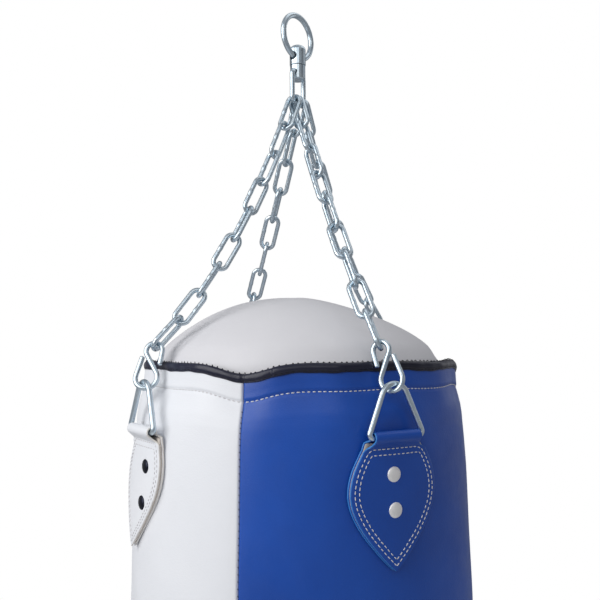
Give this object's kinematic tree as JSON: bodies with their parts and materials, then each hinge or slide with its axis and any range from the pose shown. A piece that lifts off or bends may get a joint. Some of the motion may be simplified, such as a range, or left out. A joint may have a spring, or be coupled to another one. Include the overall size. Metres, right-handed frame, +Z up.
{
  "type": "hanging heavy bag",
  "caption": "Round hanging heavy bag with alternating white and blue leather panels, strap tabs, chain sling, S-hooks, D-rings and a swivel.",
  "frame": {"origin": "inside top of the hanging ring, where a ceiling hook carries the bag", "axes": "+Z up along the bag, -Y towards the front strap tab, -X towards the left strap tab"},
  "size_m": [0.3762, 0.3779, 1.586],
  "materials": {
    "zinc_plate": "bright zinc plating",
    "white_leather": "coated synthetic leather, semi-matt",
    "blue_leather": "coated synthetic leather, satin",
    "black_binding": "woven edge tape",
    "textile_stuffing": "packed textile scraps"
  },
  "bodies": {
    "ring": {"top_ring": "zinc_plate"},
    "head": {"swivel_head": "zinc_plate"},
    "swivel": {"swivel_body": "zinc_plate"},
    "master": {"master_link": "zinc_plate"},
    "bag": {"panel_left": "white_leather", "panel_front": "blue_leather", "panel_back": "blue_leather", "panel_right": "white_leather", "collar_binding": "black_binding", "top_dome": "white_leather", "filling": "textile_stuffing", "base_disc": "blue_leather", "tab_left": "white_leather", "tab_front": "blue_leather", "tab_back": "blue_leather", "tab_right": "white_leather", "chain_left_link_1": "zinc_plate", "chain_front_link_1": "zinc_plate", "chain_back_link_1": "zinc_plate", "chain_right_link_1": "zinc_plate"},
    "link_left_2": {"chain_left_link_2": "zinc_plate"},
    "link_left_3": {"chain_left_link_3": "zinc_plate"},
    "link_left_4": {"chain_left_link_4": "zinc_plate"},
    "link_left_5": {"chain_left_link_5": "zinc_plate"},
    "link_left_6": {"chain_left_link_6": "zinc_plate"},
    "link_left_7": {"chain_left_link_7": "zinc_plate"},
    "link_left_8": {"chain_left_link_8": "zinc_plate"},
    "link_left_9": {"chain_left_link_9": "zinc_plate"},
    "hook_left": {"s_hook_left": "zinc_plate"},
    "dring_left": {"d_ring_left": "zinc_plate"},
    "link_front_2": {"chain_front_link_2": "zinc_plate"},
    "link_front_3": {"chain_front_link_3": "zinc_plate"},
    "link_front_4": {"chain_front_link_4": "zinc_plate"},
    "link_front_5": {"chain_front_link_5": "zinc_plate"},
    "link_front_6": {"chain_front_link_6": "zinc_plate"},
    "link_front_7": {"chain_front_link_7": "zinc_plate"},
    "link_front_8": {"chain_front_link_8": "zinc_plate"},
    "link_front_9": {"chain_front_link_9": "zinc_plate"},
    "hook_front": {"s_hook_front": "zinc_plate"},
    "dring_front": {"d_ring_front": "zinc_plate"},
    "link_back_2": {"chain_back_link_2": "zinc_plate"},
    "link_back_3": {"chain_back_link_3": "zinc_plate"},
    "link_back_4": {"chain_back_link_4": "zinc_plate"},
    "link_back_5": {"chain_back_link_5": "zinc_plate"},
    "link_back_6": {"chain_back_link_6": "zinc_plate"},
    "link_back_7": {"chain_back_link_7": "zinc_plate"},
    "link_back_8": {"chain_back_link_8": "zinc_plate"},
    "link_back_9": {"chain_back_link_9": "zinc_plate"},
    "hook_back": {"s_hook_back": "zinc_plate"},
    "dring_back": {"d_ring_back": "zinc_plate"},
    "link_right_2": {"chain_right_link_2": "zinc_plate"},
    "link_right_3": {"chain_right_link_3": "zinc_plate"},
    "link_right_4": {"chain_right_link_4": "zinc_plate"},
    "link_right_5": {"chain_right_link_5": "zinc_plate"},
    "link_right_6": {"chain_right_link_6": "zinc_plate"},
    "link_right_7": {"chain_right_link_7": "zinc_plate"},
    "link_right_8": {"chain_right_link_8": "zinc_plate"},
    "link_right_9": {"chain_right_link_9": "zinc_plate"},
    "hook_right": {"s_hook_right": "zinc_plate"},
    "dring_right": {"d_ring_right": "zinc_plate"}
  },
  "joints": [
    {"name": "head_swing", "type": "hinge", "parent": "ring", "child": "head", "pos_m": [0, 0, -0.0438], "axis": [0.9164, 0.4003, 0], "range_deg": [-40, 40]},
    {"name": "swivel_spin", "type": "hinge", "parent": "head", "child": "swivel", "pos_m": [0, 0, -0.0536], "axis": [0, 0, 1], "continuous": true},
    {"name": "master_swing", "type": "hinge", "parent": "swivel", "child": "master", "pos_m": [0, 0, -0.0618], "axis": [-0.788, -0.6157, 0], "range_deg": [-40, 40]},
    {"name": "sling_swing", "type": "hinge", "parent": "master", "child": "bag", "pos_m": [0, 0, -0.09585], "axis": [-0.788, -0.6157, 0], "range_deg": [-25, 25]},
    {"name": "twist_left_2", "type": "hinge", "parent": "bag", "child": "link_left_2", "pos_m": [-0.02612, -0.0071, -0.14182], "axis": [-0.3872, -0.021, -0.9218], "range_deg": [-5, 5]},
    {"name": "twist_left_3", "type": "hinge", "parent": "bag", "child": "link_left_3", "pos_m": [-0.04016, -0.00786, -0.17386], "axis": [-0.4152, -0.0225, -0.9094], "range_deg": [-5, 5]},
    {"name": "twist_left_4", "type": "hinge", "parent": "bag", "child": "link_left_4", "pos_m": [-0.05525, -0.00868, -0.20542], "axis": [-0.4471, -0.0243, -0.8941], "range_deg": [-5, 5]},
    {"name": "twist_left_5", "type": "hinge", "parent": "bag", "child": "link_left_5", "pos_m": [-0.07154, -0.00956, -0.23638], "axis": [-0.4836, -0.0263, -0.8749], "range_deg": [-5, 5]},
    {"name": "twist_left_6", "type": "hinge", "parent": "bag", "child": "link_left_6", "pos_m": [-0.08919, -0.01052, -0.26658], "axis": [-0.5253, -0.0285, -0.8504], "range_deg": [-5, 5]},
    {"name": "twist_left_7", "type": "hinge", "parent": "bag", "child": "link_left_7", "pos_m": [-0.10842, -0.01157, -0.29579], "axis": [-0.5732, -0.0311, -0.8188], "range_deg": [-5, 5]},
    {"name": "twist_left_8", "type": "hinge", "parent": "bag", "child": "link_left_8", "pos_m": [-0.12944, -0.01271, -0.32373], "axis": [-0.6279, -0.0341, -0.7775], "range_deg": [-5, 5]},
    {"name": "twist_left_9", "type": "hinge", "parent": "bag", "child": "link_left_9", "pos_m": [-0.1525, -0.01396, -0.34998], "axis": [-0.6899, -0.0375, -0.7229], "range_deg": [-5, 5]},
    {"name": "d_ring_rock_left", "type": "hinge", "parent": "bag", "child": "dring_left", "pos_m": [-0.18044, -0.02376, -0.4417], "axis": [0.1305, -0.9914, 0], "range_deg": [-2.5, 0]},
    {"name": "hook_rock_left", "type": "hinge", "parent": "bag", "child": "hook_left", "pos_m": [-0.1645, -0.0146, -0.36252], "axis": [0.1305, -0.9914, 0], "range_deg": [0, 3]},
    {"name": "twist_front_2", "type": "hinge", "parent": "bag", "child": "link_front_2", "pos_m": [-0.00324, -0.02523, -0.13978], "axis": [-0.0026, -0.4704, -0.8825], "range_deg": [-5, 5]},
    {"name": "twist_front_3", "type": "hinge", "parent": "bag", "child": "link_front_3", "pos_m": [-0.00333, -0.04192, -0.17054], "axis": [-0.0027, -0.4836, -0.8753], "range_deg": [-5, 5]},
    {"name": "twist_front_4", "type": "hinge", "parent": "bag", "child": "link_front_4", "pos_m": [-0.00343, -0.05909, -0.20104], "axis": [-0.0027, -0.4975, -0.8675], "range_deg": [-5, 5]},
    {"name": "twist_front_5", "type": "hinge", "parent": "bag", "child": "link_front_5", "pos_m": [-0.00352, -0.07676, -0.23125], "axis": [-0.0028, -0.512, -0.859], "range_deg": [-5, 5]},
    {"name": "twist_front_6", "type": "hinge", "parent": "bag", "child": "link_front_6", "pos_m": [-0.00362, -0.09495, -0.26116], "axis": [-0.0029, -0.5273, -0.8497], "range_deg": [-5, 5]},
    {"name": "twist_front_7", "type": "hinge", "parent": "bag", "child": "link_front_7", "pos_m": [-0.00373, -0.11368, -0.29072], "axis": [-0.003, -0.5433, -0.8395], "range_deg": [-5, 5]},
    {"name": "twist_front_8", "type": "hinge", "parent": "bag", "child": "link_front_8", "pos_m": [-0.00383, -0.13299, -0.31991], "axis": [-0.0031, -0.5601, -0.8284], "range_deg": [-5, 5]},
    {"name": "twist_front_9", "type": "hinge", "parent": "bag", "child": "link_front_9", "pos_m": [-0.00394, -0.15291, -0.34869], "axis": [-0.0032, -0.5777, -0.8162], "range_deg": [-5, 5]},
    {"name": "d_ring_rock_front", "type": "hinge", "parent": "bag", "child": "dring_front", "pos_m": [0, -0.182, -0.4417], "axis": [1, 0, 0], "range_deg": [-2.5, 0]},
    {"name": "hook_rock_front", "type": "hinge", "parent": "bag", "child": "hook_front", "pos_m": [-0.004, -0.163, -0.36295], "axis": [1, 0, 0], "range_deg": [0, 3.1]},
    {"name": "twist_back_2", "type": "hinge", "parent": "bag", "child": "link_back_2", "pos_m": [0.00267, 0.02665, -0.13901], "axis": [-0.0096, 0.496, -0.8683], "range_deg": [-5, 5]},
    {"name": "twist_back_3", "type": "hinge", "parent": "bag", "child": "link_back_3", "pos_m": [0.00234, 0.04416, -0.16931], "axis": [-0.0097, 0.5044, -0.8634], "range_deg": [-5, 5]},
    {"name": "twist_back_4", "type": "hinge", "parent": "bag", "child": "link_back_4", "pos_m": [0.00199, 0.06196, -0.19945], "axis": [-0.0099, 0.5129, -0.8584], "range_deg": [-5, 5]},
    {"name": "twist_back_5", "type": "hinge", "parent": "bag", "child": "link_back_5", "pos_m": [0.00165, 0.08007, -0.2294], "axis": [-0.0101, 0.5218, -0.853], "range_deg": [-5, 5]},
    {"name": "twist_back_6", "type": "hinge", "parent": "bag", "child": "link_back_6", "pos_m": [0.00129, 0.09849, -0.25915], "axis": [-0.0102, 0.5308, -0.8474], "range_deg": [-5, 5]},
    {"name": "twist_back_7", "type": "hinge", "parent": "bag", "child": "link_back_7", "pos_m": [0.00093, 0.11723, -0.28871], "axis": [-0.0104, 0.5402, -0.8415], "range_deg": [-5, 5]},
    {"name": "twist_back_8", "type": "hinge", "parent": "bag", "child": "link_back_8", "pos_m": [0.00056, 0.13631, -0.31805], "axis": [-0.0106, 0.5498, -0.8352], "range_deg": [-5, 5]},
    {"name": "twist_back_9", "type": "hinge", "parent": "bag", "child": "link_back_9", "pos_m": [0.00019, 0.15572, -0.34717], "axis": [-0.0108, 0.5597, -0.8287], "range_deg": [-5, 5]},
    {"name": "d_ring_rock_back", "type": "hinge", "parent": "bag", "child": "dring_back", "pos_m": [0, 0.182, -0.4417], "axis": [-1, 0, 0], "range_deg": [-2.5, 0]},
    {"name": "hook_rock_back", "type": "hinge", "parent": "bag", "child": "hook_back", "pos_m": [0, 0.1655, -0.36164], "axis": [-1, 0, 0], "range_deg": [0, 3]},
    {"name": "twist_right_2", "type": "hinge", "parent": "bag", "child": "link_right_2", "pos_m": [0.02374, 0.01058, -0.14249], "axis": [0.3394, 0.0952, -0.9358], "range_deg": [-5, 5]},
    {"name": "twist_right_3", "type": "hinge", "parent": "bag", "child": "link_right_3", "pos_m": [0.03614, 0.01406, -0.17503], "axis": [0.3694, 0.1037, -0.9235], "range_deg": [-5, 5]},
    {"name": "twist_right_4", "type": "hinge", "parent": "bag", "child": "link_right_4", "pos_m": [0.04969, 0.01786, -0.20707], "axis": [0.4047, 0.1136, -0.9074], "range_deg": [-5, 5]},
    {"name": "twist_right_5", "type": "hinge", "parent": "bag", "child": "link_right_5", "pos_m": [0.06458, 0.02204, -0.23846], "axis": [0.4464, 0.1253, -0.886], "range_deg": [-5, 5]},
    {"name": "twist_right_6", "type": "hinge", "parent": "bag", "child": "link_right_6", "pos_m": [0.08108, 0.02667, -0.26896], "axis": [0.4962, 0.1392, -0.857], "range_deg": [-5, 5]},
    {"name": "twist_right_7", "type": "hinge", "parent": "bag", "child": "link_right_7", "pos_m": [0.09948, 0.03183, -0.29825], "axis": [0.5556, 0.1559, -0.8167], "range_deg": [-5, 5]},
    {"name": "twist_right_8", "type": "hinge", "parent": "bag", "child": "link_right_8", "pos_m": [0.12017, 0.03764, -0.32583], "axis": [0.6264, 0.1758, -0.7594], "range_deg": [-5, 5]},
    {"name": "twist_right_9", "type": "hinge", "parent": "bag", "child": "link_right_9", "pos_m": [0.14353, 0.04419, -0.35096], "axis": [0.7088, 0.1989, -0.6768], "range_deg": [-5, 5]},
    {"name": "d_ring_rock_right", "type": "hinge", "parent": "bag", "child": "dring_right", "pos_m": [0.17405, 0.05321, -0.4417], "axis": [-0.2924, 0.9563, 0], "range_deg": [-2.5, 0]},
    {"name": "hook_rock_right", "type": "hinge", "parent": "bag", "child": "hook_right", "pos_m": [0.15588, 0.04766, -0.36272], "axis": [-0.2924, 0.9563, 0], "range_deg": [0, 3]}
  ],
  "couplings": [
    {"joint": "hook_rock_left", "follows": "d_ring_rock_left", "ratio": -1.1486},
    {"joint": "hook_rock_front", "follows": "d_ring_rock_front", "ratio": -1.1615},
    {"joint": "hook_rock_back", "follows": "d_ring_rock_back", "ratio": -1.1227},
    {"joint": "hook_rock_right", "follows": "d_ring_rock_right", "ratio": -1.1546}
  ]
}
